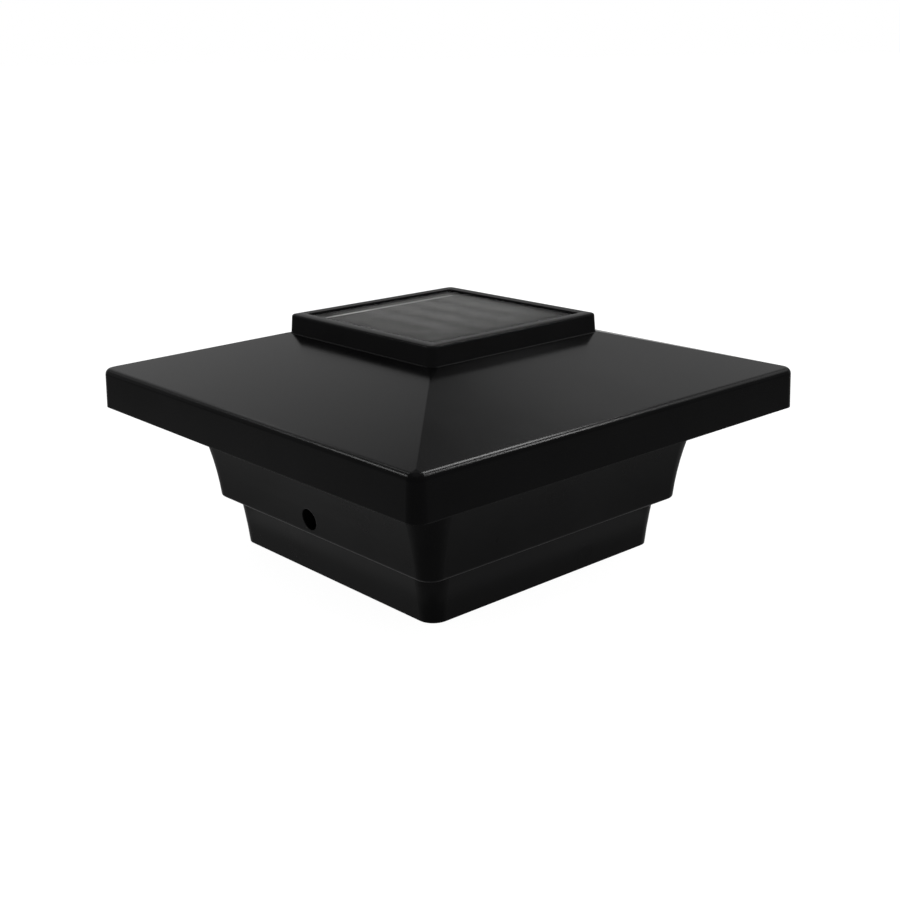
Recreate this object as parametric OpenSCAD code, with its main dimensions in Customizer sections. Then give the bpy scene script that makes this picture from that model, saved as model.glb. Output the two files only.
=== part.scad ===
// Deck post cap light: a solar panel in a raised rim on a low hipped roof, over a coved
// base that slips on a square timber post. Lamps under the eave shine down past lenses.
// Millimetres. The origin is the centre of the base's foot, +Z is up, and the walls
// with a post screw hole face -Y and +Y.

/* [Post socket] */
// Actual width of the square post
post_w = 88.9; // [88:0.1:90]
// Play between the post and the socket on each side
post_play = 1.25; // [0.8:0.05:1.6]
// Wall of the socket
socket_wall = 2.8; // [2.2:0.1:3.2]
// Depth of the socket, from the foot to the deck that stops the post
socket_depth = 32; // [30:0.5:33]
// Inner corner radius of the socket
socket_corner_r = 2.4; // [1.5:0.1:3]
// Thickness of the deck that stops the post
deck_t = 3; // [2.8:0.1:3.6]

/* [Base coves] */
// Height of the lower cove
lower_cove_h = 16.1; // [14:0.1:17]
// Radius of the lower cove's hollow curve
lower_cove_r = 170; // [140:5:260]
// Lean of the lower cove's foot from upright, in degrees
lower_cove_lean = 5.6; // [4:0.1:7]
// Corner radius at the lower cove's foot
lower_corner_r = 5.2; // [4.4:0.1:6]
// Width of the step between the two coves
step_w = 3.8; // [3.2:0.1:4.4]
// Radius of the upper cove's hollow curve
upper_cove_r = 98; // [90:1:110]
// Lean of the upper cove's lower end from upright, in degrees
upper_cove_lean = 5.5; // [4:0.1:7]
// Corner radius at the upper cove's lower end
upper_corner_r = 5.3; // [4.6:0.1:6]
// Rounding of the upper cove's lower edge
step_edge_r = 1; // [0.5:0.1:1.4]
// Wall of the upper cove
cove_wall = 2.4; // [2:0.1:2.8]
// Thickness of the webs between the socket and the upper cove
web_t = 1.8; // [1.4:0.1:2.4]
// Distance of the webs from the middle of each side
web_x = 30; // [24:1:36]

/* [Post screw holes] */
// Diameter of the access hole in the cove
screw_access_d = 7; // [6:0.1:8]
// Diameter of the screw hole in the socket wall
screw_hole_d = 4.2; // [3.6:0.1:5]
// Height of the holes above the foot
screw_hole_z = 21.6; // [20.5:0.1:24]
// Wall of the tube between the cove and the socket
screw_tube_wall = 1.8; // [1.4:0.1:2]

/* [Soffit] */
// Height of the soffit's underside above the foot
soffit_z = 48.4; // [46:0.1:50]
// Thickness of the soffit
soffit_t = 2.2; // [1.8:0.1:2.6]
// Set-back of the soffit above the roof's lower edge
soffit_recess = 1.5; // [1:0.1:2.5]
// Gap between the soffit and the roof's fascia
soffit_gap = 0.3; // [0.2:0.05:0.5]
// Height of the seal between the soffit and the roof
seal_h = 2; // [1.5:0.1:2.5]
// Width of that seal
seal_w = 2.4; // [2:0.1:2.6]

/* [Roof] */
// Width of the roof across its lower edge
roof_w = 160; // [158:0.5:164]
// Height of the fascia, up to its meeting with the slope
fascia_h = 12.5; // [11.5:0.1:14]
// Draft of the fascia, in degrees
fascia_draft = 2.1; // [1:0.1:3]
// Pitch of the roof, in degrees
roof_pitch = 15.24; // [14.5:0.02:17]
// Rounding between the fascia and the slope
eave_r = 2.2; // [1.5:0.1:2.6]
// Corner radius of the fascia
roof_corner_r = 3.9; // [3.6:0.1:5]
// Wall of the roof
roof_wall = 2.6; // [2.2:0.1:2.8]
// Thickness of the ribs under the roof
rib_t = 1.6; // [1.2:0.1:2]
// Depth of the ribs under the roof
rib_h = 3.5; // [2:0.5:5]

/* [Panel rim] */
// Width of the rim at its foot
rim_foot_w = 70.6; // [69:0.1:72]
// Height of the rim above the roof
rim_h = 6; // [5.6:0.1:7.5]
// Draft of the rim's outside, in degrees
rim_draft = 4.8; // [2:0.1:6]
// Corner radius of the rim at its foot
rim_corner_r = 2.6; // [2:0.1:3.4]
// Rounding of the rim's upper outer edge
rim_edge_r = 0.8; // [0.4:0.1:1.2]
// Width of the rim's top face
rim_top_w = 4; // [3.6:0.1:4.4]
// Corner radius of the rim's opening
rim_inner_r = 1; // [0.5:0.1:1.5]
// Width of the ledge that carries the panel
ledge_w = 3; // [2:0.1:4]

/* [Solar panel] */
// Depth of the panel's face below the rim
panel_recess = 0.4; // [0.3:0.1:1.4]
// Gap round the panel in the rim
panel_gap = 0.3; // [0.2:0.05:0.5]
// Thickness of the clear cover
cover_t = 0.8; // [0.6:0.1:1.2]
// Thickness of the cells
cell_t = 0.2; // [0.15:0.05:0.3]
// Thickness of the ribbons on the cells
ribbon_t = 0.1; // [0.1:0.05:0.2]
// Width of the ribbons
ribbon_w = 1.2; // [0.8:0.1:1.6]
// Thickness of the panel's backing board
panel_board_t = 1.6; // [1:0.1:1.8]
// Thickness of the adhesive under the panel
adhesive_t = 0.4; // [0.3:0.05:0.6]
// Number of cell strips
cell_count = 5; // [4:1:6]
// Length of a cell strip
cell_l = 53; // [48:0.5:56]
// Width of a cell strip
cell_w = 10.4; // [8:0.1:10.8]
// Gap between the cell strips
cell_gap = 0.6; // [0.4:0.1:1]

/* [Lamps] */
// Set-in of the lamps' middle line from the roof's lower edge
lamp_inset = 10.4; // [10.2:0.1:10.6]
// Set-in of a lens's window ends past the ends of its lamp board
lens_end_inset = 8; // [7:0.5:12]
// Width of a lens
lens_w = 6.6; // [6:0.1:7]
// Width of the lip round a lens
lens_lip = 1.3; // [1:0.1:1.5]
// Thickness of that lip
lens_lip_t = 1.2; // [1:0.1:1.6]
// Gap between a lens and its window
lens_gap = 0.25; // [0.15:0.05:0.4]
// Rise of the lens's crowned lower face
lens_crown = 0.5; // [0.3:0.1:0.8]
// Height of the lamp boards above the soffit
lamp_board_rise = 5.2; // [4.6:0.1:5.4]
// Set-in of a lamp board's ends from the roof's lower edge
lamp_board_inset = 24; // [23:0.5:25]
// Width of a lamp board
lamp_board_w = 7.6; // [7:0.1:8]
// Thickness of a lamp board
lamp_board_t = 1.2; // [1:0.1:1.6]
// Number of lamps on a board
lamp_count = 5; // [3:1:7]
// Distance between neighbouring lamps
lamp_pitch = 19; // [12:1:22]
// Size of a lamp's body
lamp_size = [3.5, 2.8, 0.8];

/* [Housing screws] */
// Distance of the housing screws from each centre plane
house_screw_xy = 38; // [37:0.2:39]
// Diameter of the screw's shank
house_screw_d = 3; // [2.5:0.1:3.5]
// Length of the screw under its head
house_screw_l = 18; // [14:1:22]
// Diameter of the screw's head
house_head_d = 5.8; // [5:0.1:6.2]
// Height of the screw's head
house_head_h = 2.4; // [2:0.1:2.8]
// Diameter of the well for the head
house_well_d = 7; // [6.6:0.1:7.6]
// Depth of that well above the deck's underside
house_well_h = 6; // [5:0.5:7]
// Wall round the wells and the roof's screw posts
boss_wall = 1.8; // [1.4:0.1:2.2]
// Height of the base's bosses above their wells, up to the roof's screw posts
boss_rise = 4; // [3:0.5:5]

/* [Battery] */
// Diameter of the battery
battery_d = 14.2; // [14:0.1:14.5]
// Length of the battery's can
battery_can_l = 49.2; // [48.5:0.1:49.5]
// Diameter of the battery's button
button_d = 5.5; // [5:0.1:6]
// Height of the battery's button
button_h = 1.2; // [1:0.1:1.5]
// Gap between the battery and its box
battery_play = 0.5; // [0.3:0.05:0.7]
// Wall of the battery box
box_wall = 1.6; // [1.2:0.1:2]
// Thickness of the battery box's flange
box_flange_t = 2; // [1.6:0.1:2.4]
// Thickness of the contact plates
contact_t = 0.4; // [0.3:0.05:0.5]
// Length of the contact spring in place
spring_l = 5.6; // [5:0.1:7]
// Diameter of the spring's wire
spring_wire_d = 0.7; // [0.5:0.05:0.8]
// Diameter of the spring where it leaves its plate
spring_base_d = 10; // [9:0.5:10.2]
// Diameter of the spring where it meets the battery
spring_tip_d = 6; // [5:0.5:7]
// Turns of the spring
spring_turns = 4; // [3:1:4]
// Offset of the battery box from the middle, along Y
battery_y = -14; // [-15:0.5:-13]

/* [Battery door] */
// Length of the door
door_l = 66; // [64:0.5:67]
// Width of the door from its hinge axis to its free edge
door_w = 23; // [22:0.5:24]
// Thickness of the door's plate
door_t = 1.7; // [1.4:0.1:1.8]
// Diameter of the door's hinge barrel
door_barrel_d = 2.4; // [2.2:0.1:2.5]
// Diameter of the hinge pegs
door_peg_d = 1.8; // [1.5:0.1:1.8]
// Length of a hinge peg
door_peg_l = 2.4; // [1.5:0.1:3]
// Running clearance round a hinge peg
peg_clear = 0.06; // [0.03:0.01:0.1]
// Gap between the door and the deck
door_gap = 0.35; // [0.3:0.05:0.5]
// Set-back of the door from the deck's underside
door_recess = 0.2; // [0.1:0.05:0.4]
// Thickness of the door's seal
door_seal_t = 0.8; // [0.5:0.1:0.8]
// Width of the door's seal
door_seal_w = 2; // [1.5:0.1:2.2]
// Diameter of the finger scoop in the deck
scoop_d = 14; // [10:1:16]
// Depth of the finger scoop
scoop_h = 1.2; // [0.8:0.1:1.5]

/* [Circuit board and switch] */
// Length of the circuit board
board_l = 56; // [52:1:58]
// Width of the circuit board
board_w = 28; // [26:0.5:29]
// Thickness of the circuit board
board_t = 1.6; // [1.2:0.1:1.6]
// Offset of the board's middle along Y
board_y = 27; // [25:0.5:28]
// Height of the board's underside above the deck
board_rise = 5.2; // [5:0.1:6]
// Set-in of the board's screws from its edges
board_screw_inset = 3.5; // [3:0.1:4.5]
// Diameter of the small screws
small_screw_d = 2; // [1.8:0.1:2.2]
// Length of the small screws under their heads
small_screw_l = 5; // [4:0.5:5]
// Diameter of the small screws' heads
small_head_d = 3.8; // [3.4:0.1:4]
// Height of the small screws' heads
small_head_h = 1.3; // [1:0.1:1.6]
// Diameter of the posts that small screws go into
small_post_d = 5; // [4.6:0.1:5.6]
// Travel of the power switch
switch_travel = 2.4; // [2:0.1:3]
// Size of the switch's knob
knob_size = [3.8, 2.8, 2.4];
// Height of the switch's body
switch_h = 4.6; // [4.4:0.1:4.8]
// Width of the switch's body
switch_w = 5.4; // [5:0.1:6]
// Wall of the switch's body
switch_wall = 0.8; // [0.6:0.1:1]
// Gap round the switch's moving piece
switch_gap = 0.3; // [0.2:0.05:0.35]

/* [Wires] */
// Diameter of a wire
wire_d = 1.2; // [0.9:0.1:1.4]
// Diameter of the hole for the panel's wires in the roof
lead_hole_d = 6; // [5:0.5:8]

/* [Hidden] */
$fn = 96;

// Worked-out sizes are kept to a hundredth, so that arcs meet their straight sides
function neat(x) = round(x * 100) / 100;

// Socket and deck
socket_half = neat(post_w / 2 + post_play);
foot_half = socket_half + socket_wall;
socket_mid = (socket_half + foot_half) / 2;
deck_top_z = socket_depth + deck_t;

// Coves: each is a hollow arc about a centre outside the wall
function arc_x(foot, r, lean) = foot + r * cos(lean);
function arc_z(foot_z, r, lean) = foot_z - r * sin(lean);
function cove_half(foot, foot_z, r, lean, z) =
    arc_x(foot, r, lean) - sqrt(r * r - pow(z - arc_z(foot_z, r, lean), 2));

lower_core = foot_half - lower_corner_r;
step_half =
    neat(cove_half(foot_half, 0, lower_cove_r, lower_cove_lean, lower_cove_h)) + step_w;
upper_core = step_half - upper_corner_r;
function upper_half(z) =
    cove_half(step_half, lower_cove_h, upper_cove_r, upper_cove_lean, z);

// Soffit and roof
eave_z = soffit_z - soffit_recess;
soffit_top_z = soffit_z + soffit_t;
seal_top_z = soffit_top_z + seal_h;
roof_half = roof_w / 2;
fascia_top_half = roof_half - fascia_h * tan(fascia_draft);
rim_half = rim_foot_w / 2;
function roof_z(half) = eave_z + fascia_h + (fascia_top_half - half) * tan(roof_pitch);
roof_top_z = neat(roof_z(rim_half));
fascia_inner_half = neat(roof_half - roof_wall - soffit_recess * tan(fascia_draft));
soffit_half =
    neat(fascia_inner_half - (soffit_t + seal_h) * tan(fascia_draft) - soffit_gap);
roof_core = roof_half - roof_corner_r;
roof_under_z = roof_top_z - roof_wall;

// Rim and panel, from the top face down
rim_top_z = roof_top_z + rim_h;
rim_top_half = neat(rim_half - rim_h * tan(rim_draft));
opening_half = rim_top_half - rim_top_w;
panel_half = opening_half - panel_gap;
cover_top_z = rim_top_z - panel_recess;
cover_z = cover_top_z - cover_t;
ribbon_z = cover_z - ribbon_t;
panel_board_top_z = ribbon_z - cell_t;
panel_board_z = panel_board_top_z - panel_board_t;
ledge_z = panel_board_z - adhesive_t;
ribbon_x = cell_l / 2 - ribbon_w;

// Lamps
lamp_reach = roof_half - lamp_inset;
lamp_board_l = roof_w - 2 * lamp_board_inset;
lens_l = lamp_board_l - 2 * lens_end_inset;
lamp_board_z = soffit_top_z + lamp_board_rise;
window_w = lens_w + 2 * lens_gap;
window_l = lens_l + 2 * lens_gap;
lamp_post_x = (lamp_board_l - small_post_d) / 2;

// Housing screws
well_top_z = socket_depth + house_well_h;
boss_joint_z = well_top_z + boss_rise;
house_boss_r = house_well_d / 2 + boss_wall;
roof_post_r = house_screw_d / 2 + boss_wall;

// Battery, its box and its door
battery_r = battery_d / 2;
battery_z = deck_top_z + battery_play + battery_r;
bay_r = battery_r + battery_play;
bay_l = battery_can_l + button_h + spring_l + 2 * contact_t;
box_l = bay_l + 2 * box_wall;
door_clear_l = door_l + 2 * door_gap;
hinge_y = battery_y - door_w / 2 + door_barrel_d / 4;
door_edge_y = hinge_y + door_w;
hinge_z = socket_depth + door_recess + door_barrel_d / 2;
opening_y = [hinge_y - door_barrel_d / 2 - door_gap, door_edge_y + door_gap];
flange_margin = 8;
flange_l = door_clear_l + 2 * flange_margin;
flange_y = [opening_y[0] - flange_margin / 2, opening_y[1] + flange_margin / 2];
box_screw_x = door_clear_l / 2 + flange_margin / 2;
bay_x = bay_l / 2;
battery_can_x = -bay_x + contact_t + button_h;
contact_plate_w = 0.72 * battery_d;
tab_w = 3;
tab_z = battery_z + battery_r / 2;
tab_out = 3;

// Centre line of the contact spring, a cone of turns from its plate to the battery
spring_rings = 12;
spring_run = spring_l - spring_wire_d;
spring_points = [for (i = [0:spring_turns * spring_rings])
    let (s = i / (spring_turns * spring_rings), a = 360 * i / spring_rings)
    let (r = (spring_base_d * (1 - s) + spring_tip_d * s - spring_wire_d) / 2)
    [bay_x - contact_t - spring_wire_d / 2 - s * spring_run,
        battery_y + r * cos(a), battery_z + r * sin(a)]];
spring_least_gap = min([for (i = [0:len(spring_points) - 1])
    for (k = [i + spring_rings - 3:1:min(i + spring_rings + 3, len(spring_points) - 1)])
        norm(spring_points[i] - spring_points[k])]) - spring_wire_d;

// Board and switch
board_z = deck_top_z + board_rise;
board_top_z = board_z + board_t;
board_hole = [board_l / 2 - board_screw_inset, board_w / 2 - board_screw_inset];
plate_size = [3.6, 2.8, 1.2];
stem_size = [1.8, 1.6];
switch_l = plate_size[0] + switch_travel + 2 * (switch_gap + switch_wall);
switch_z = board_z - switch_h;
knob_x = -switch_travel / 2;
plate_z = switch_z + switch_wall + switch_gap;
knob_z = switch_z - switch_gap - knob_size[2];
slot_l = knob_size[0] + switch_travel + 2 * switch_gap;
slot_w = knob_size[1] + 2 * switch_gap;
socket_size = [6, 4.6, 5.5];
battery_socket_x = -board_l / 3;
lamp_socket_x = board_l / 3;
panel_socket_x = 0;
socket_row_y = board_y + board_w / 14;
socket_top_z = board_top_z + socket_size[2];
chip_size = [5, 4, 1.5];
choke_d = 6;
choke_h = 4;
capacitor_d = 6.3;
capacitor_h = 9;

// Fits and small features: cut is how far a cut runs past the face it opens
cut = 1;
screw_fit = 0.03;
screw_clear = 0.2;
soffit_r = max(soffit_half - roof_core, 0.5);
rim_screw_xy = (opening_half + rim_top_half) / 2;
post_fin = 3;
box_screw_bite = deck_t - 3 * screw_clear;
pilot_depth = small_screw_l - 1;
pilot_run = 0.5;
door_seal_inset = 1;
knob_groove = 0.4;

// Wires: half the distance between a pair, the straight run at an end, and two heights
wire_step = wire_d;
wire_run = 3 * wire_d;
loft_z = (socket_top_z + roof_under_z) / 2;
low_loft_z = (socket_top_z + loft_z) / 2;
lamp_wire_z = lamp_board_z + lamp_board_t / 2;

// ---- Shared shapes ----

// A square with rounded corners, centred
module rounded_square(half, r) {
    square([2 * half, 2 * (half - r)], center = true);
    square([2 * (half - r), 2 * half], center = true);
    for (x = [-1, 1], y = [-1, 1])
        translate([x * (half - r), y * (half - r)])
            circle(r = r);
}

module rounded_slab(half, r, z0, z1) {
    translate([0, 0, z0])
        linear_extrude(z1 - z0)
            rounded_square(half, r);
}

// A square frame between two halves
module square_ring(outer, inner, r, z0, z1) {
    difference() {
        rounded_slab(outer, r, z0, z1);
        rounded_slab(inner, max(r - outer + inner, 0.3), z0 - cut, z1 + cut);
    }
}

// A block whose four sides follow the child profile, measured outwards from the core
module swept_block(core, z0, z1) {
    translate([-core, -core, z0])
        cube([2 * core, 2 * core, z1 - z0]);
    for (k = [0:3])
        rotate(90 * k) {
            translate([core, core, 0])
                rotate([90, 0, 0])
                    linear_extrude(2 * core)
                        children();
            translate([core, core, 0])
                rotate_extrude(angle = 90)
                    children();
        }
}

// Half section of a cove, x from the core: a hollow arc, moved in by inset
module cove_section(core, foot, foot_z, r, lean, z0, z1, inset) {
    difference() {
        translate([0, z0])
            square([r / 2, z1 - z0]);
        translate([arc_x(foot, r, lean) - core, arc_z(foot_z, r, lean)])
            circle(r = r + inset, $fn = 720);
    }
}

// The upper cove's section with its rounded lower edge
module upper_section(z1) {
    centre_x = arc_x(step_half, upper_cove_r, upper_cove_lean) - upper_core;
    centre_z = arc_z(lower_cove_h, upper_cove_r, upper_cove_lean);
    edge_z = lower_cove_h + step_edge_r;
    edge_x = centre_x - sqrt(pow(upper_cove_r + step_edge_r, 2) - pow(edge_z - centre_z, 2));
    tangent = upper_cove_r / (upper_cove_r + step_edge_r);
    tangent_z = centre_z + (edge_z - centre_z) * tangent;
    difference() {
        cove_section(upper_core, step_half, lower_cove_h, upper_cove_r, upper_cove_lean,
            lower_cove_h, z1, 0);
        difference() {
            translate([edge_x, lower_cove_h - cut])
                square([2 * step_edge_r, tangent_z - lower_cove_h + cut]);
            translate([edge_x, edge_z])
                circle(r = step_edge_r);
        }
    }
}

// The inside of the upper cove's wall, filled
module cove_core(z0, z1, inset) {
    swept_block(upper_core, z0, z1)
        cove_section(upper_core, step_half, lower_cove_h, upper_cove_r, upper_cove_lean,
            z0, z1, inset);
}

// Half section of the roof, x from the centre, moved in by inset and down to z0
module roof_section(inset, z0) {
    draft = tan(fascia_draft);
    pitch = tan(roof_pitch);
    wall_foot = roof_half - inset / cos(fascia_draft);
    slope_rise = eave_z + fascia_h - inset / cos(roof_pitch) + fascia_top_half * pitch;
    corner_z = (slope_rise - pitch * (wall_foot + eave_z * draft)) / (1 - pitch * draft);
    corner_x = wall_foot - (corner_z - eave_z) * draft;
    round_r = max(eave_r - inset, 0.3);
    reach = round_r * tan((90 - fascia_draft - roof_pitch) / 2);
    fascia_x = corner_x + reach * sin(fascia_draft);
    fascia_z = corner_z - reach * cos(fascia_draft);
    flat_x = rim_half - inset * tan(roof_pitch / 2);
    polygon([
        [0, z0],
        [wall_foot - (z0 - eave_z) * draft, z0],
        [fascia_x, fascia_z],
        [corner_x - reach * cos(roof_pitch), corner_z + reach * sin(roof_pitch)],
        [flat_x, roof_top_z - inset],
        [0, roof_top_z - inset]
    ]);
    translate([fascia_x - round_r * cos(fascia_draft), fascia_z - round_r * sin(fascia_draft)])
        circle(r = round_r);
}

// The roof's outer form, moved in by inset: two crossed prisms with rounded corners
module roof_form(inset, z0) {
    corner_cut = roof_corner_r + 2 * cut;
    difference() {
        intersection_for(turn = [0, 90])
            rotate([90, 0, turn])
                linear_extrude(2 * (roof_half + cut), center = true) {
                    roof_section(inset, z0);
                    mirror([1, 0])
                        roof_section(inset, z0);
                }
        for (k = [0:3])
            rotate(90 * k)
                translate([roof_core, roof_core, z0 - cut])
                    cube([corner_cut, corner_cut, roof_top_z]);
    }
    for (k = [0:3])
        rotate(90 * k)
            translate([roof_core, roof_core, 0])
                rotate_extrude(angle = 90)
                    intersection() {
                        translate([-roof_core, 0])
                            roof_section(inset, z0);
                        translate([0, z0 - cut])
                            square([corner_cut, roof_top_z]);
                    }
}

// A screw with its head below: the shank runs up from the origin
module screw_up(d, l, head_d, head_h) {
    difference() {
        translate([0, 0, -head_h])
            cylinder(h = head_h, d = head_d);
        translate([0, 0, -head_h])
            screw_cross(head_d, head_h);
    }
    cylinder(h = l, d = d);
}

// Cross recess of a screw's head
module screw_cross(head_d, head_h) {
    for (turn = [0, 90])
        rotate(turn)
            cube([head_d * 0.6, head_d * 0.16, head_h], center = true);
}

module screw_down(d, l, head_d, head_h) {
    rotate([180, 0, 0])
        screw_up(d, l, head_d, head_h);
}

// The four places at plus and minus x and y
module at_corners(x, y) {
    for (sx = [-1, 1], sy = [-1, 1])
        translate([sx * x, sy * y, 0])
            children();
}

// ---- Wires and the spring: a round tube swept along points ----

function unit(v) = v / norm(v);
function headings(p) = [for (i = [0:len(p) - 1])
    unit(p[min(i + 1, len(p) - 1)] - p[max(i - 1, 0)])];
// A cross direction for each heading, carried along without twist
function carried(t, n, i = 0) =
    i == len(t) ? [] :
    let (m = unit(n - (n * t[i]) * t[i]))
    concat([m], carried(t, m, i + 1));
// A smooth curve through the points, steps to a stretch
function curve_at(a, b, c, d, s) =
    0.5 * (2 * b + (c - a) * s + (2 * a - 5 * b + 4 * c - d) * s * s
        + (3 * b - a - 3 * c + d) * s * s * s);
function smooth(p, steps) = concat(
    [for (i = [0:len(p) - 2], k = [0:steps - 1])
        curve_at(p[max(i - 1, 0)], p[i], p[i + 1], p[min(i + 2, len(p) - 1)], k / steps)],
    [p[len(p) - 1]]);

module tube(p, d, sides, side_way) {
    t = headings(p);
    n = carried(t, side_way);
    last = len(p) - 1;
    polyhedron(
        points = [for (i = [0:last], k = [0:sides - 1])
            let (a = 360 * k / sides)
            p[i] + d / 2 * (cos(a) * n[i] + sin(a) * cross(t[i], n[i]))],
        faces = concat(
            [for (k = [1:sides - 2]) [0, k + 1, k]],
            [for (i = [0:last - 1], k = [0:sides - 1])
                let (a = i * sides + k, b = i * sides + (k + 1) % sides)
                each [[a, b, b + sides], [a, b + sides, a + sides]]],
            [for (k = [1:sides - 2])
                [last * sides, last * sides + k, last * sides + k + 1]]));
}

// A wire that leaves and ends straight, with a smooth run between
module wire(p) {
    last = len(p) - 1;
    run = smooth([for (i = [1:last - 1]) p[i]], 3);
    tube(concat([p[0]], run, [p[last]]), wire_d, 8, [0.3, 0.5, 0.8]);
}

// ---- Roof ----

module roof_shell() {
    post_top = roof_z(house_screw_xy + roof_post_r) - roof_wall / 2;
    seat_r = roof_corner_r - roof_wall + rib_t / 2;
    color("#232325")
    difference() {
        union() {
            difference() {
                roof_form(0, eave_z);
                roof_form(roof_wall, eave_z - cut);
            }
            // rib that presses on the seal
            square_ring(fascia_inner_half + rib_t / 2, soffit_half - seal_w, seat_r,
                seal_top_z, roof_z(fascia_inner_half) - roof_wall / 2);
            at_corners(house_screw_xy, house_screw_xy) {
                translate([0, 0, boss_joint_z])
                    cylinder(h = post_top - boss_joint_z, r = roof_post_r);
                post_fins();
            }
            for (k = [0:3], x = [-1, 1])
                rotate(90 * k)
                    translate([x * rim_half / 2, 0, 0])
                        slope_rib();
        }
        at_corners(house_screw_xy, house_screw_xy)
            translate([0, 0, well_top_z])
                cylinder(h = house_screw_l + 2 * pilot_run, r = house_screw_d / 2 + screw_fit);
        at_corners(rim_screw_xy, rim_screw_xy)
            translate([0, 0, roof_under_z - cut])
                cylinder(h = roof_wall + 2 * cut, r = small_screw_d / 2 + screw_fit);
        translate([0, 0, roof_under_z - cut])
            cylinder(h = roof_wall + 2 * cut, d = lead_hole_d);
    }
}

// Tapered fins that stiffen a screw post
module post_fins() {
    reach = roof_post_r + post_fin;
    top = roof_z(house_screw_xy + reach) - roof_wall / 2;
    foot = top - 4 * post_fin;
    for (turn = [0, 90])
        rotate([90, 0, turn])
            linear_extrude(rib_t, center = true)
                polygon([[-reach, top], [-roof_post_r, foot], [roof_post_r, foot], [reach, top]]);
}

// A rib under the slope, from the panel rim to the lamps
module slope_rib() {
    near = rim_half;
    far = lamp_reach - lamp_board_w;
    rotate([90, 0, 90])
        linear_extrude(rib_t, center = true)
            polygon([
                [near, roof_z(near) - roof_wall / 2],
                [far, roof_z(far) - roof_wall / 2],
                [far, roof_z(far) - roof_wall - rib_h / 2],
                [near, roof_z(near) - roof_wall - rib_h]
            ]);
}

// Section of the rim's outside, x from its core, with a rounded upper edge
module rim_section() {
    top_x = rim_corner_r - rim_h * tan(rim_draft);
    reach = rim_edge_r * tan((90 - rim_draft) / 2);
    polygon([
        [0, roof_top_z],
        [rim_corner_r, roof_top_z],
        [top_x + reach * sin(rim_draft), rim_top_z - reach * cos(rim_draft)],
        [top_x - reach, rim_top_z],
        [0, rim_top_z]
    ]);
    translate([top_x - reach, rim_top_z - rim_edge_r])
        circle(r = rim_edge_r);
}

module panel_rim() {
    color("#202022")
    difference() {
        swept_block(rim_half - rim_corner_r, roof_top_z, rim_top_z)
            rim_section();
        rounded_slab(opening_half, rim_inner_r, ledge_z, rim_top_z + cut);
        rounded_slab(opening_half - ledge_w, rim_inner_r, roof_top_z - cut, rim_top_z + cut);
        at_corners(rim_screw_xy, rim_screw_xy)
            translate([0, 0, roof_top_z - cut])
                cylinder(h = cut + small_screw_l - roof_wall + pilot_run,
                    r = small_screw_d / 2 + screw_fit);
    }
}

// ---- Solar panel ----

module panel_adhesive() {
    color("#3a3a3c")
        square_ring(panel_half, panel_half - ledge_w + panel_gap, rim_inner_r,
            ledge_z, panel_board_z);
}

module panel_board() {
    color("#15181d")
        rounded_slab(panel_half, rim_inner_r, panel_board_z, panel_board_top_z);
}

module solar_cells() {
    pitch = cell_w + cell_gap;
    color("#2b3038")
        for (i = [0:cell_count - 1])
            translate([0, (i - (cell_count - 1) / 2) * pitch, panel_board_top_z + cell_t / 2])
                cube([cell_l, cell_w, cell_t], center = true);
}

module cell_ribbons() {
    field = cell_count * (cell_w + cell_gap) - cell_gap;
    color("#c9ccd0")
        for (side = [-1, 1])
            translate([side * ribbon_x, 0, ribbon_z + ribbon_t / 2])
                cube([ribbon_w, field, ribbon_t], center = true);
}

module panel_cover() {
    color("#4a5058", 0.5)
        rounded_slab(panel_half, rim_inner_r, cover_z, cover_top_z);
}

// ---- Coved base ----

module coved_base() {
    color("#1d1d1f")
    difference() {
        union() {
            difference() {
                union() {
                    swept_block(upper_core, lower_cove_h, soffit_top_z)
                        upper_section(soffit_top_z);
                    rounded_slab(soffit_half, soffit_r, soffit_z, soffit_top_z);
                }
                cove_core(lower_cove_h + cove_wall, soffit_top_z + cut, cove_wall);
            }
            swept_block(lower_core, 0, lower_cove_h)
                cove_section(lower_core, foot_half, 0, lower_cove_r, lower_cove_lean,
                    0, lower_cove_h, 0);
            rounded_slab(foot_half, lower_corner_r, lower_cove_h, deck_top_z);
            intersection() {
                webs_and_tubes();
                cove_core(lower_cove_h, soffit_top_z, cove_wall / 2);
            }
            at_corners(house_screw_xy, house_screw_xy)
                translate([0, 0, socket_depth])
                    cylinder(h = boss_joint_z - socket_depth, r = house_boss_r);
            translate([0, board_y, 0])
                at_corners(board_hole[0], board_hole[1])
                    small_post(deck_top_z, board_z);
            at_sides()
                lamp_posts();
        }
        rounded_slab(socket_half, socket_corner_r, -1, socket_depth);
        post_screw_holes();
        housing_wells();
        door_cuts();
        translate([0, board_y, socket_depth])
            cube([slot_l, slot_w, 4 * deck_t], center = true);
        translate([0, board_y, 0])
            at_corners(board_hole[0], board_hole[1])
                small_pilot(board_z);
        at_sides() {
            for (x = [-1, 1])
                translate([x * lamp_post_x, -lamp_reach, 0])
                    small_pilot(lamp_board_z);
            translate([0, -lamp_reach, soffit_z])
                cube([window_l, window_w, 4 * soffit_t], center = true);
        }
        for (x = [-1, 1])
            translate([x * box_screw_x, battery_y, deck_top_z - box_screw_bite])
                cylinder(h = deck_t, r = small_screw_d / 2 + screw_fit);
    }
}

// Front, right, back and left side: drawn once on the front, at -Y
module at_sides() {
    for (k = [0:3])
        rotate(90 * k)
            children();
}

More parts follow.
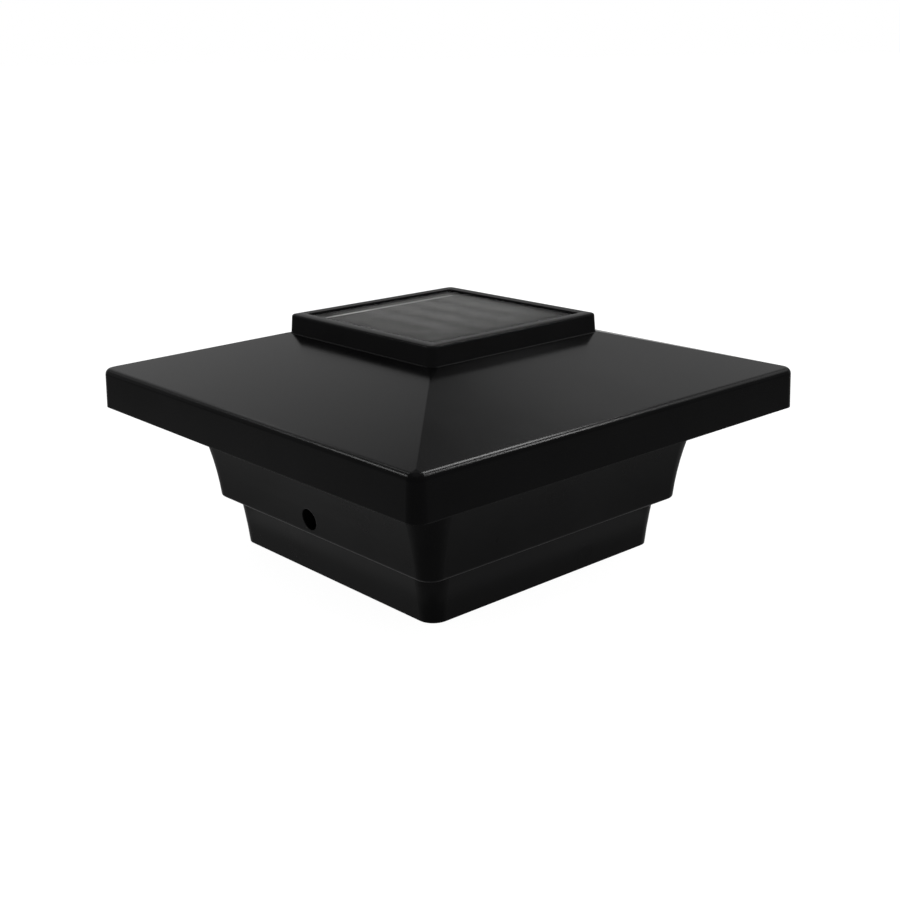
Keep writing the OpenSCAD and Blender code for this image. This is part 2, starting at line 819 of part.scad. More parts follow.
// Webs and screw tubes between the socket's wall and the upper cove
module webs_and_tubes() {
    at_sides()
        for (x = [-1, 1])
            translate([x * web_x - web_t / 2, -soffit_half, lower_cove_h])
                cube([web_t, soffit_half - socket_mid, socket_depth - lower_cove_h]);
    for (turn = [0, 180])
        rotate(turn)
            translate([0, -socket_mid, screw_hole_z])
                rotate([90, 0, 0])
                    cylinder(h = soffit_half - socket_mid, r = screw_access_d / 2 + screw_tube_wall);
}

// A screw's way in: a wide hole to the socket's wall, and a narrow one through it
module post_screw_holes() {
    for (turn = [0, 180])
        rotate(turn)
            translate([0, 0, screw_hole_z])
                rotate([90, 0, 0]) {
                    translate([0, 0, foot_half])
                        cylinder(h = soffit_half - foot_half, d = screw_access_d);
                    translate([0, 0, socket_half - cut])
                        cylinder(h = socket_wall + 2 * cut, d = screw_hole_d);
                }
}

module housing_wells() {
    at_corners(house_screw_xy, house_screw_xy) {
        translate([0, 0, socket_depth - cut])
            cylinder(h = house_well_h + cut, d = house_well_d);
        translate([0, 0, socket_depth])
            cylinder(h = boss_joint_z, r = house_screw_d / 2 + screw_clear);
    }
}

// Opening of the battery door, its hinge sockets and the finger scoop at its free edge
module door_cuts() {
    translate([-door_clear_l / 2, opening_y[0], socket_depth - cut])
        cube([door_clear_l, opening_y[1] - opening_y[0], deck_t + 2 * cut]);
    translate([0, hinge_y, hinge_z])
        rotate([0, 90, 0])
            cylinder(h = door_clear_l + 2 * door_peg_l, r = door_peg_d / 2 + peg_clear,
                center = true);
    translate([0, opening_y[1], socket_depth - cut])
        cylinder(h = scoop_h + cut, d = scoop_d);
}

module small_post(z0, z1) {
    translate([0, 0, z0 - soffit_t / 2])
        cylinder(h = z1 - z0 + soffit_t / 2, d = small_post_d);
}

// Blind hole for a small screw that comes down from z
module small_pilot(z) {
    translate([0, 0, z - pilot_depth])
        cylinder(h = small_screw_l, r = small_screw_d / 2 + screw_fit);
}

module lamp_posts() {
    for (x = [-1, 1])
        translate([x * lamp_post_x, -lamp_reach, 0])
            small_post(soffit_top_z, lamp_board_z);
}

module housing_seal() {
    color("#4b4b4d")
        square_ring(soffit_half, soffit_half - seal_w, soffit_r, soffit_top_z, seal_top_z);
}

// ---- Lamps: each is drawn on the front and turned to its side ----

module lens() {
    crown_r = (pow(lens_w / 2, 2) + pow(lens_crown, 2)) / (2 * lens_crown);
    color("#eeece4")
        translate([0, -lamp_reach, 0]) {
            rotate([90, 0, 90])
                linear_extrude(lens_l, center = true)
                    intersection() {
                        translate([-lens_w / 2, soffit_z])
                            square([lens_w, soffit_t]);
                        translate([0, soffit_z + crown_r])
                            circle(r = crown_r);
                    }
            translate([-lens_l / 2 - lens_lip, -lens_w / 2 - lens_lip, soffit_top_z])
                cube([lens_l + 2 * lens_lip, lens_w + 2 * lens_lip, lens_lip_t]);
        }
}

module lamp_board() {
    color("#f2f2ee")
        difference() {
            translate([0, -lamp_reach, lamp_board_z + lamp_board_t / 2])
                cube([lamp_board_l, lamp_board_w, lamp_board_t], center = true);
            for (x = [-1, 1])
                translate([x * lamp_post_x, -lamp_reach, lamp_board_z - cut])
                    cylinder(h = lamp_board_t + 2 * cut, r = small_screw_d / 2 + screw_clear);
        }
}

module lamps() {
    color("#f0dc8c")
        for (i = [0:lamp_count - 1])
            translate([
                (i - (lamp_count - 1) / 2) * lamp_pitch,
                -lamp_reach,
                lamp_board_z - lamp_size[2] / 2
            ])
                cube(lamp_size, center = true);
}

module front_lens() { lens(); }
module right_lens() { rotate(90) lens(); }
module back_lens() { rotate(180) lens(); }
module left_lens() { rotate(270) lens(); }
module front_lamp_board() { lamp_board(); }
module right_lamp_board() { rotate(90) lamp_board(); }
module back_lamp_board() { rotate(180) lamp_board(); }
module left_lamp_board() { rotate(270) lamp_board(); }
module front_lamps() { lamps(); }
module right_lamps() { rotate(90) lamps(); }
module back_lamps() { rotate(180) lamps(); }
module left_lamps() { rotate(270) lamps(); }

// ---- Circuit board and power switch ----

module circuit_board() {
    color("#1f6a3c")
        difference() {
            translate([0, board_y, board_z + board_t / 2])
                cube([board_l, board_w, board_t], center = true);
            translate([0, board_y, board_z - cut])
                at_corners(board_hole[0], board_hole[1])
                    cylinder(h = board_t + 2 * cut, r = small_screw_d / 2 + screw_clear);
        }
}

// The charging chip, a smaller chip and a choke
module board_chips() {
    color("#26262a") {
        translate([-board_l / 7, board_y + board_w / 9, board_top_z + chip_size[2] / 2])
            cube(chip_size, center = true);
        translate([0, board_y + board_w / 4, board_top_z + 0.3 * chip_size[2]])
            cube(chip_size * 0.6, center = true);
        translate([board_l / 5, board_y + board_w / 4, board_top_z])
            cylinder(h = choke_h, d = choke_d);
    }
}

module charge_capacitor() {
    color("#2c3a63")
        translate([board_l / 6, board_y - board_w / 4, board_top_z])
            cylinder(h = capacitor_h, d = capacitor_d);
}

module wire_sockets() {
    color("#ece7da")
        for (x = [battery_socket_x, panel_socket_x, lamp_socket_x])
            translate([x, socket_row_y, board_top_z + socket_size[2] / 2])
                cube(socket_size, center = true);
}

module switch_body() {
    inner_l = switch_l - 2 * switch_wall;
    inner_w = plate_size[1] + 2 * switch_gap;
    inner_h = plate_size[2] + 2 * switch_gap;
    color("#b9bcc0")
        difference() {
            translate([-switch_l / 2, board_y - switch_w / 2, switch_z])
                cube([switch_l, switch_w, switch_h]);
            translate([-inner_l / 2, board_y - inner_w / 2, switch_z + switch_wall])
                cube([inner_l, inner_w, inner_h]);
            translate([0, board_y, switch_z])
                cube([
                    stem_size[0] + switch_travel + 2 * switch_gap,
                    stem_size[1] + 2 * switch_gap,
                    3 * switch_wall
                ], center = true);
        }
}

// The knob under the deck, its stem, and the plate that slides in the switch's body
module switch_knob() {
    knob_top = knob_z + knob_size[2];
    color("#d8d8d4")
        translate([knob_x, board_y, 0]) {
            translate([-plate_size[0] / 2, -plate_size[1] / 2, plate_z])
                cube(plate_size);
            translate([-stem_size[0] / 2, -stem_size[1] / 2, knob_top])
                cube([stem_size[0], stem_size[1], plate_z - knob_top]);
            difference() {
                translate([-knob_size[0] / 2, -knob_size[1] / 2, knob_z])
                    cube(knob_size);
                for (i = [-1:1])
                    translate([i * 3 * knob_groove, 0, knob_z])
                        cube([knob_groove, knob_size[1] + cut, 2 * knob_groove], center = true);
            }
        }
}

// ---- Battery ----

// End view of the battery box: a half round roof on straight sides, y and z
module bay_outline(r, z0) {
    intersection() {
        translate([battery_y, battery_z])
            circle(r = r);
        translate([battery_y - r, z0])
            square([2 * r, battery_z + r - z0]);
    }
    translate([battery_y - r, z0])
        square([2 * r, battery_z - z0]);
}

module battery_box() {
    color("#2b2b2e")
        difference() {
            union() {
                rotate([90, 0, 90])
                    linear_extrude(box_l, center = true)
                        bay_outline(bay_r + box_wall, deck_top_z);
                translate([-flange_l / 2, flange_y[0], deck_top_z])
                    cube([flange_l, flange_y[1] - flange_y[0], box_flange_t]);
            }
            rotate([90, 0, 90])
                linear_extrude(bay_l, center = true)
                    bay_outline(bay_r, deck_top_z - cut);
            translate([0, battery_y, tab_z])
                cube([box_l + 2 * cut, tab_w + 2 * switch_gap, contact_t + 2 * switch_gap],
                    center = true);
            for (x = [-1, 1])
                translate([x * box_screw_x, battery_y, deck_top_z - cut])
                    cylinder(h = box_flange_t + 2 * cut, r = small_screw_d / 2 + screw_clear);
        }
}

module battery() {
    color("#4f8a5b")
        translate([battery_can_x, battery_y, battery_z])
            rotate([0, 90, 0]) {
                cylinder(h = battery_can_l, d = battery_d);
                translate([0, 0, -button_h])
                    cylinder(h = button_h, d = button_d);
            }
}

// A contact plate at the end of the bay on the side given, with a tab through the wall
module contact_plate(side) {
    tab_l = box_wall + tab_out;
    color("#c9c9c4")
        translate([side * bay_x, battery_y, 0]) {
            translate([-side * contact_t / 2, 0, battery_z])
                cube([contact_t, contact_plate_w, contact_plate_w], center = true);
            translate([side * tab_l / 2, 0, tab_z])
                cube([tab_l, tab_w, contact_t], center = true);
        }
}

module positive_contact() { contact_plate(-1); }
module negative_contact() { contact_plate(1); }

module contact_spring() {
    echo("contact spring, least gap between turns", spring_least_gap);
    color("#d2d2cc")
        tube(spring_points, spring_wire_d, 6, [1, 0, 0]);
}

module battery_door() {
    color("#222224") {
        difference() {
            translate([-door_l / 2, hinge_y, socket_depth + door_recess])
                cube([door_l, door_w, door_t]);
            translate([0, door_edge_y, socket_depth])
                cylinder(h = 2 * (scoop_h - door_recess), d = scoop_d * 0.5, center = true);
        }
        translate([0, hinge_y, hinge_z])
            rotate([0, 90, 0]) {
                cylinder(h = door_l, d = door_barrel_d, center = true);
                cylinder(h = door_clear_l + 2 * (door_peg_l - door_gap), d = door_peg_d,
                    center = true);
            }
    }
}

module door_seal() {
    z = socket_depth + door_recess + door_t;
    near = hinge_y + door_barrel_d;
    seal_l = door_l - 2 * door_seal_inset;
    seal_across = door_edge_y - door_seal_inset - near;
    color("#56565a")
        translate([0, near + seal_across / 2, z + door_seal_t / 2])
            difference() {
                cube([seal_l, seal_across, door_seal_t], center = true);
                cube([seal_l - 2 * door_seal_w, seal_across - 2 * door_seal_w,
                    2 * door_seal_t], center = true);
            }
}

// ---- Screws ----

module housing_screws() {
    color("#8e9196")
        at_corners(house_screw_xy, house_screw_xy)
            translate([0, 0, well_top_z])
                screw_up(house_screw_d, house_screw_l, house_head_d, house_head_h);
}

module rim_screws() {
    color("#8e9196")
        at_corners(rim_screw_xy, rim_screw_xy)
            translate([0, 0, roof_under_z])
                screw_up(small_screw_d, small_screw_l, small_head_d, small_head_h);
}

module board_screws() {
    color("#8e9196")
        translate([0, board_y, board_top_z])
            at_corners(board_hole[0], board_hole[1])
                screw_down(small_screw_d, small_screw_l, small_head_d, small_head_h);
}

module lamp_board_screws() {
    color("#8e9196")
        at_sides()
            for (x = [-1, 1])
                translate([x * lamp_post_x, -lamp_reach, lamp_board_z + lamp_board_t])
                    screw_down(small_screw_d, small_screw_l, small_head_d, small_head_h);
}

module box_screws() {
    color("#8e9196")
        for (x = [-1, 1])
            translate([x * box_screw_x, battery_y, deck_top_z + box_flange_t])
                screw_down(small_screw_d, box_flange_t + box_screw_bite - screw_clear,
                    small_head_d, small_head_h);
}

// ---- Wires, each along points between the places it joins ----

module panel_leads() {
    color("#b23a34")
        for (x = [-wire_step, wire_step])
            translate([panel_socket_x + x, 0, 0])
                wire([
                    [0, 0, panel_board_z],
                    [0, 0, panel_board_z - wire_run],
                    [0, 0, roof_under_z - 2 * wire_run],
                    [0, socket_row_y / 3, loft_z],
                    [0, socket_row_y, low_loft_z + wire_d],
                    [0, socket_row_y, socket_top_z + wire_run],
                    [0, socket_row_y, socket_top_z]
                ]);
}

module battery_leads() {
    tab_x = bay_x + box_wall + tab_out - wire_d;
    tab_top = tab_z + contact_t / 2;
    color("#b23a34") {
        wire([
            [-tab_x, battery_y, tab_top],
            [-tab_x, battery_y, tab_top + wire_run],
            [-tab_x, battery_y / 4, low_loft_z],
            [-0.75 * bay_x, socket_row_y / 3, low_loft_z + wire_d],
            [battery_socket_x - wire_step, socket_row_y, low_loft_z],
            [battery_socket_x - wire_step, socket_row_y, socket_top_z]
        ]);
        wire([
            [tab_x, battery_y, tab_top],
            [tab_x, battery_y, tab_top + wire_run],
            [tab_x, battery_y / 4, low_loft_z],
            [bay_x / 2, socket_row_y / 6, low_loft_z],
            [-bay_x / 6, socket_row_y / 6, low_loft_z],
            [-bay_x / 2, socket_row_y / 3, low_loft_z],
            [battery_socket_x + wire_step, socket_row_y, low_loft_z],
            [battery_socket_x + wire_step, socket_row_y, socket_top_z]
        ]);
    }
}

// A feed from the circuit board to the right lamp board, and links round three corners
module lamp_leads() {
    board_edge = lamp_reach - lamp_board_w / 2;
    board_end = lamp_board_l / 2;
    corner = lamp_reach - wire_run;
    color("#b23a34") {
        for (o = [-wire_step, wire_step])
            wire([
                [lamp_socket_x + o, socket_row_y, socket_top_z],
                [lamp_socket_x + o, socket_row_y, socket_top_z + wire_run],
                [0.46 * board_edge, socket_row_y / 2 + o, lamp_wire_z - wire_d],
                [0.73 * board_edge, socket_row_y / 7 + o, lamp_wire_z],
                [board_edge - wire_run, o, lamp_wire_z],
                [board_edge, o, lamp_wire_z]
            ]);
        for (k = [0:2], o = [-wire_step, wire_step])
            rotate(90 * k)
                wire([
                    [board_end, -lamp_reach - o, lamp_wire_z],
                    [board_end + wire_run, -lamp_reach - o, lamp_wire_z],
                    [corner + o, -corner - o, lamp_wire_z],
                    [lamp_reach + o, -board_end - wire_run, lamp_wire_z],
                    [lamp_reach + o, -board_end, lamp_wire_z]
                ]);
    }
}

roof_shell();
panel_rim();
panel_adhesive();
panel_board();
solar_cells();
cell_ribbons();
panel_cover();
coved_base();
housing_seal();
front_lens();
right_lens();
back_lens();
left_lens();
front_lamp_board();
right_lamp_board();
back_lamp_board();
left_lamp_board();
front_lamps();
right_lamps();
back_lamps();
left_lamps();
circuit_board();
board_chips();
charge_capacitor();
wire_sockets();
switch_body();
switch_knob();
battery_box();
battery();
positive_contact();
negative_contact();
contact_spring();
battery_door();
door_seal();
housing_screws();
rim_screws();
board_screws();
lamp_board_screws();
box_screws();
panel_leads();
battery_leads();
lamp_leads();
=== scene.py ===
import math

import bmesh
import bpy
from mathutils import Matrix, Vector

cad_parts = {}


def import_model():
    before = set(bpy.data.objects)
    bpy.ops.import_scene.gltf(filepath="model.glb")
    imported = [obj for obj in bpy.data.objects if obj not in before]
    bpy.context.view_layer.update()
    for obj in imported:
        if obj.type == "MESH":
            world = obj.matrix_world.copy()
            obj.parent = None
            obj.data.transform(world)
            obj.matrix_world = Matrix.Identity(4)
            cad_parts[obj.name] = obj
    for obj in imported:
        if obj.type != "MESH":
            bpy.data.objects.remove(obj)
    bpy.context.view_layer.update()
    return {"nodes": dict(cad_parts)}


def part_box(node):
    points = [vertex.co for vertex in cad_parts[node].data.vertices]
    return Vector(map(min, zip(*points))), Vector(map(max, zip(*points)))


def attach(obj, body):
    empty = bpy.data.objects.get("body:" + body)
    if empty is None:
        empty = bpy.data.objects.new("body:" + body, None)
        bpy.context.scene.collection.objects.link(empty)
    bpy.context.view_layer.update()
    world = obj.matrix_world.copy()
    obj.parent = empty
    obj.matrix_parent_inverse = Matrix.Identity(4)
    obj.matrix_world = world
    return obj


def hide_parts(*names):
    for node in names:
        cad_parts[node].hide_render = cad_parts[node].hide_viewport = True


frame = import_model()
nodes = frame["nodes"]
MM = 0.001
scene = bpy.context.scene


# ---- Node helpers ----

def new_tree(name):
    """A material with an empty node tree."""
    material = bpy.data.materials.new(name)
    material.use_nodes = True
    tree = material.node_tree
    tree.nodes.clear()
    return material, tree


def add(tree, kind, **values):
    """A node with its properties and its inputs, by name, set."""
    node = tree.nodes.new(kind)
    for key, value in values.items():
        if hasattr(node, key):
            setattr(node, key, value)
        else:
            node.inputs[key.replace("_", " ")].default_value = value
    return node


def compute(tree, operation, first, second):
    """One step of maths on two values, each a number or a socket."""
    node = add(tree, "ShaderNodeMath", operation=operation)
    for socket, value in zip(node.inputs, (first, second)):
        if isinstance(value, float):
            socket.default_value = value
        else:
            tree.links.new(value, socket)
    return node.outputs[0]


def object_place(tree):
    """The place in the cap's own frame, in metres."""
    return add(tree, "ShaderNodeTexCoord").outputs["Object"]


def noise(tree, scale, detail=2.0, stretch=None):
    """Noise over the object's own place, scale in waves a millimetre."""
    texture = add(tree, "ShaderNodeTexNoise", Scale=scale / MM, Detail=detail)
    place = object_place(tree)
    if stretch:
        mapping = add(tree, "ShaderNodeMapping", Scale=stretch)
        tree.links.new(place, mapping.inputs["Vector"])
        place = mapping.outputs["Vector"]
    tree.links.new(place, texture.inputs["Vector"])
    return texture.outputs["Fac"]


def spread(tree, value, low, high, start=0.3, end=0.7):
    """Maps a value's start to end onto low to high."""
    node = add(tree, "ShaderNodeMapRange")
    node.inputs["From Min"].default_value = start
    node.inputs["From Max"].default_value = end
    node.inputs["To Min"].default_value = low
    node.inputs["To Max"].default_value = high
    tree.links.new(value, node.inputs["Value"])
    return node.outputs["Result"]


def blend_colour(tree, factor, first, second):
    """Mixes two colours, each a tuple or a socket."""
    node = add(tree, "ShaderNodeMix", data_type="RGBA")
    tree.links.new(factor, node.inputs["Factor"])
    for name, value in (("A", first), ("B", second)):
        socket = [s for s in node.inputs if s.name == name and s.type == "RGBA"][0]
        if isinstance(value, tuple):
            socket.default_value = value + (1.0,)
        else:
            tree.links.new(value, socket)
    return [s for s in node.outputs if s.type == "RGBA"][0]


def bump(tree, height, distance, under=None):
    """A normal from a height, distance millimetres deep, over another normal if given."""
    node = add(tree, "ShaderNodeBump", Strength=1.0, Distance=distance * MM)
    tree.links.new(height, node.inputs["Height"])
    if under:
        tree.links.new(under, node.inputs["Normal"])
    return node.outputs["Normal"]


def shader(tree, **constants):
    """The surface's shader, with the values that are the same all over."""
    node = add(tree, "ShaderNodeBsdfPrincipled")
    for key, value in constants.items():
        node.inputs[key.replace("_", " ")].default_value = value
    output = add(tree, "ShaderNodeOutputMaterial")
    tree.links.new(node.outputs["BSDF"], output.inputs["Surface"])
    return node


# ---- Materials ----

WAVE_PITCH = 1 / 45.0    # waves a millimetre in a moulding's slow unevenness
GRAIN_PITCH = 1 / 0.35   # and in its fine grain


def finish_material(name, dark, light, rough, patch, grain, grain_depth, wave=0.0,
                    rounding=0.0, **constants):
    """A mottled colour, an uneven sheen and a fine grain. Lengths are millimetres."""
    material, tree = new_tree(name)
    node = shader(tree, **constants)
    large = noise(tree, 1 / patch, 3.0)
    fine = noise(tree, 1 / grain, 2.0)
    tree.links.new(blend_colour(tree, spread(tree, large, 0.0, 1.0), dark, light),
                   node.inputs["Base Color"])
    tree.links.new(spread(tree, large, rough[0], rough[1]), node.inputs["Roughness"])
    under = None
    if rounding:
        edge = add(tree, "ShaderNodeBevel", samples=6, Radius=rounding * MM)
        under = edge.outputs["Normal"]
    normal = bump(tree, fine, grain_depth, under)
    if wave:
        normal = bump(tree, noise(tree, WAVE_PITCH, 1.0), wave, normal)
    tree.links.new(normal, node.inputs["Normal"])
    return material


BLACK = dict(IOR=1.08)
housing = finish_material("black_housing", (0.0018, 0.0018, 0.0019), (0.0032, 0.0032, 0.0034),
                          (0.16, 0.2), 30.0, 0.35, 0.001, 0.05, 0.6, **BLACK)
base_black = finish_material("black_base", (0.0024, 0.0024, 0.0025), (0.0038, 0.0038, 0.0040),
                             (0.25, 0.34), 24.0, 0.35, 0.001, 0.06, 0.4, **BLACK)
seal_grey = finish_material("soft_seal", (0.05, 0.05, 0.053), (0.09, 0.09, 0.093),
                            (0.8, 0.95), 3.0, 0.4, 0.08)
lens_frost = finish_material("frosted_lens", (0.80, 0.79, 0.74), (0.88, 0.87, 0.82),
                             (0.42, 0.55), 8.0, 0.3, 0.01, Transmission_Weight=0.35,
                             Subsurface_Weight=0.3, Subsurface_Scale=0.004)
white_board = finish_material("white_board", (0.78, 0.78, 0.75), (0.86, 0.86, 0.83),
                              (0.32, 0.42), 6.0, 0.5, 0.01)
lamp_yellow = finish_material("lamp_body", (0.80, 0.62, 0.18), (0.88, 0.74, 0.30),
                              (0.25, 0.35), 1.5, 0.3, 0.01)
green_board = finish_material("green_board", (0.018, 0.13, 0.05), (0.03, 0.19, 0.08),
                              (0.28, 0.4), 4.0, 0.5, 0.015)
chip_black = finish_material("chip_black", (0.02, 0.02, 0.022), (0.035, 0.035, 0.038),
                             (0.5, 0.62), 1.0, 0.15, 0.01)
sleeve_blue = finish_material("capacitor_sleeve", (0.035, 0.055, 0.15), (0.05, 0.075, 0.19),
                              (0.28, 0.36), 4.0, 0.4, 0.01)
nylon = finish_material("socket_nylon", (0.72, 0.69, 0.60), (0.82, 0.79, 0.70),
                        (0.45, 0.55), 3.0, 0.3, 0.01)
knob_white = finish_material("knob_plastic", (0.66, 0.66, 0.63), (0.76, 0.76, 0.73),
                             (0.4, 0.5), 2.0, 0.25, 0.008, rounding=0.2)
box_black = finish_material("box_plastic", (0.018, 0.018, 0.02), (0.028, 0.028, 0.03),
                            (0.4, 0.5), 14.0, 0.35, 0.006, rounding=0.3)
wrap_green = finish_material("battery_wrap", (0.05, 0.22, 0.10), (0.07, 0.28, 0.13),
                             (0.22, 0.3), 12.0, 0.5, 0.006)
plated = finish_material("plated_contact", (0.62, 0.61, 0.58), (0.74, 0.73, 0.70),
                         (0.22, 0.34), 2.0, 0.2, 0.004, Metallic=1.0)
tin = finish_material("switch_can", (0.50, 0.51, 0.52), (0.62, 0.63, 0.64),
                      (0.3, 0.42), 1.5, 0.2, 0.006, Metallic=1.0)
zinc = finish_material("zinc_screw", (0.42, 0.43, 0.45), (0.58, 0.59, 0.61),
                       (0.28, 0.42), 1.2, 0.25, 0.008, rounding=0.15, Metallic=1.0)
wire_red = finish_material("wire_sleeve", (0.30, 0.03, 0.025), (0.38, 0.045, 0.035),
                           (0.35, 0.45), 5.0, 0.4, 0.01)
# A little lighter than the housing, partly a painted highlight for the light line at the rim's
# foot; the base's mould lines share it.
seam_black = finish_material("seam_black", (0.0035, 0.0035, 0.0036), (0.0055, 0.0055, 0.0056),
                             (0.34, 0.42), 10.0, 0.3, 0.001, IOR=1.05)
mark_grey = finish_material("moulded_mark", (0.012, 0.012, 0.0125), (0.02, 0.02, 0.0205),
                            (0.35, 0.45), 3.0, 0.3, 0.002, **BLACK)


def place_axes(tree):
    """The three sockets of the place: X, Y and Z."""
    place = add(tree, "ShaderNodeSeparateXYZ")
    tree.links.new(object_place(tree), place.inputs["Vector"])
    return place.outputs


def near_edge(tree):
    """How far a place lies towards +X and -Y, the two panel sides where painted shade and a
    painted highlight go.
    """
    axes = place_axes(tree)
    return compute(tree, "MAXIMUM", axes["X"], compute(tree, "MULTIPLY", axes["Y"], -1.0))


RIM_TOP_Z = 77.45 * MM
PANEL_HALF = 30.5 * MM   # from the middle of the panel to the rim's inner edge
HALF_STRIP = 5.5 * MM    # from the middle of a cell strip to its edge


def rim_material():
    """Satin black with a painted highlight along its inner edge on the two sides at +X and -Y.
    """
    material, tree = new_tree("black_rim")
    node = shader(tree, IOR=1.03)
    patches = spread(tree, noise(tree, 1 / 20.0, 3.0), 0.0, 1.0)
    wall = blend_colour(tree, patches, (0.0080, 0.0080, 0.0082), (0.0100, 0.0100, 0.0103))
    on_top = spread(tree, place_axes(tree)["Z"], 0.0, 1.0,
                    RIM_TOP_Z - 0.25 * MM, RIM_TOP_Z - 0.1 * MM)
    inner = spread(tree, near_edge(tree), 1.0, 0.0,
                   PANEL_HALF + 0.8 * MM, PANEL_HALF + 2.9 * MM)
    on_rim = spread(tree, near_edge(tree), 0.0, 1.0,
                    PANEL_HALF - 0.3 * MM, PANEL_HALF - 0.1 * MM)
    # Painted highlight: a lighter colour on top of the inner edge along +X and -Y.
    edge = compute(tree, "MULTIPLY", compute(tree, "MULTIPLY", on_top, inner), on_rim)
    tree.links.new(blend_colour(tree, edge, wall, (0.06, 0.06, 0.06)),
                   node.inputs["Base Color"])
    tree.links.new(spread(tree, patches, 0.10, 0.15, 0.0, 1.0), node.inputs["Roughness"])
    rounding = add(tree, "ShaderNodeBevel", samples=6, Radius=0.35 * MM)
    grain = bump(tree, noise(tree, GRAIN_PITCH), 0.0006, rounding.outputs["Normal"])
    tree.links.new(bump(tree, noise(tree, WAVE_PITCH, 1.0), 0.03, grain),
                   node.inputs["Normal"])
    return material


def backing_material():
    """The panel's dark border round the cells, painted lighter towards -X and +Y as reflection
    and darker towards +X and -Y as shade.
    """
    material, tree = new_tree("panel_backing")
    node = shader(tree, Specular_IOR_Level=0.002)
    patches = spread(tree, noise(tree, 1 / 6.0, 3.0), 0.0, 1.0)
    # Painted reflection and shade: a light tone towards -X and +Y, a dark one towards +X and
    # -Y.
    painted_reflection_tone = blend_colour(tree, patches, (0.043, 0.043, 0.044), (0.050, 0.050, 0.051))
    painted_shade_tone = blend_colour(tree, patches, (0.009, 0.009, 0.009), (0.012, 0.012, 0.012))
    painted_shade_share = spread(tree, near_edge(tree), 0.0, 1.0, 6.0 * MM, 26.0 * MM)
    tree.links.new(blend_colour(tree, painted_shade_share, painted_reflection_tone, painted_shade_tone),
                   node.inputs["Base Color"])
    tree.links.new(spread(tree, patches, 0.5, 0.6, 0.0, 1.0), node.inputs["Roughness"])
    tree.links.new(bump(tree, noise(tree, 1 / 0.4), 0.002), node.inputs["Normal"])
    return material


def ribbon_material():
    """Tinned ribbon with a painted glint: bright in one stretch, then dull with a few painted
    glint specks.
    """
    material, tree = new_tree("tinned_ribbon")
    node = shader(tree, Metallic=1.0)
    # Painted glint: the colour is bright from -24 to -14 mm along Y and fades out by -3 mm.
    along = place_axes(tree)["Y"]
    start = spread(tree, along, 0.0, 1.0, -25.0 * MM, -24.0 * MM)
    stretch = spread(tree, along, 1.0, 0.0, -14.0 * MM, -3.0 * MM)
    painted_glint_specks = spread(tree, noise(tree, 1 / 5.0, 1.0), 0.0, 0.25, 0.5, 0.65)
    bright = compute(tree, "MULTIPLY", compute(tree, "MAXIMUM", stretch, painted_glint_specks), start)
    tree.links.new(blend_colour(tree, bright, (0.03, 0.03, 0.03), (0.21, 0.21, 0.205)),
                   node.inputs["Base Color"])
    tree.links.new(spread(tree, noise(tree, 1 / 2.0), 0.3, 0.45), node.inputs["Roughness"])
    tree.links.new(bump(tree, noise(tree, 1 / 0.3), 0.01), node.inputs["Normal"])
    return material


def cell_material():
    """Dark silicon: each strip is lighter along its middle, with painted shade darker to +X and
    -Y.
    """
    material, tree = new_tree("solar_cell")
    node = shader(tree, Specular_IOR_Level=0.002)
    across = compute(tree, "PINGPONG", place_axes(tree)["Y"], HALF_STRIP)
    middle = spread(tree, across, 1.0, 0.0, 1.0 * MM, 5.0 * MM)
    crystal = noise(tree, 1 / 6.0, 3.0)
    edge_tone = blend_colour(tree, spread(tree, crystal, 0.0, 1.0),
                             (0.021, 0.021, 0.021), (0.027, 0.027, 0.027))
    middle_tone = blend_colour(tree, spread(tree, crystal, 0.0, 1.0),
                               (0.046, 0.046, 0.046), (0.056, 0.056, 0.056))
    stripes = blend_colour(tree, middle, edge_tone, middle_tone)
    # Painted shade: the cells darken towards +X and -Y.
    shade = spread(tree, near_edge(tree), 0.0, 1.0, 8.0 * MM, 28.0 * MM)
    tree.links.new(blend_colour(tree, shade, stripes, (0.014, 0.014, 0.014)),
                   node.inputs["Base Color"])
    tree.links.new(spread(tree, crystal, 0.3, 0.45), node.inputs["Roughness"])
    tree.links.new(bump(tree, noise(tree, 1 / 6.0, 0.0), 0.02), node.inputs["Normal"])
    return material


def cover_material():
    """A clear cast cover, slightly wavy, with a faint haze."""
    material, tree = new_tree("clear_cover")
    node = shader(tree, IOR=1.02, Transmission_Weight=1.0)
    haze = noise(tree, 1 / 9.0, 3.0)
    tree.links.new(blend_colour(tree, spread(tree, haze, 0.0, 1.0),
                                (0.90, 0.90, 0.89), (0.95, 0.95, 0.94)),
                   node.inputs["Base Color"])
    tree.links.new(spread(tree, haze, 0.05, 0.09), node.inputs["Roughness"])
    wavy = bump(tree, noise(tree, 1 / 11.0, 1.0, (1.0, 1.0, 0.3)), 0.12)
    tree.links.new(wavy, node.inputs["Normal"])
    return material


rim_black = rim_material()
board_dark = backing_material()
ribbon_tin = ribbon_material()
cell_dark = cell_material()
cover_clear = cover_material()

FINISH = {
    "roof_shell": housing, "panel_rim": rim_black, "coved_base": base_black,
    "battery_door": base_black, "panel_adhesive": seal_grey, "housing_seal": seal_grey,
    "door_seal": seal_grey, "panel_board": board_dark, "solar_cells": cell_dark,
    "cell_ribbons": ribbon_tin, "panel_cover": cover_clear, "circuit_board": green_board,
    "board_chips": chip_black, "charge_capacitor": sleeve_blue, "wire_sockets": nylon,
    "switch_body": tin, "switch_knob": knob_white, "battery_box": box_black,
    "battery": wrap_green, "positive_contact": plated, "negative_contact": plated,
    "contact_spring": plated,
}
FAMILY = (("_lens", lens_frost), ("_lamp_board", white_board), ("_lamps", lamp_yellow),
          ("_screws", zinc), ("_leads", wire_red))

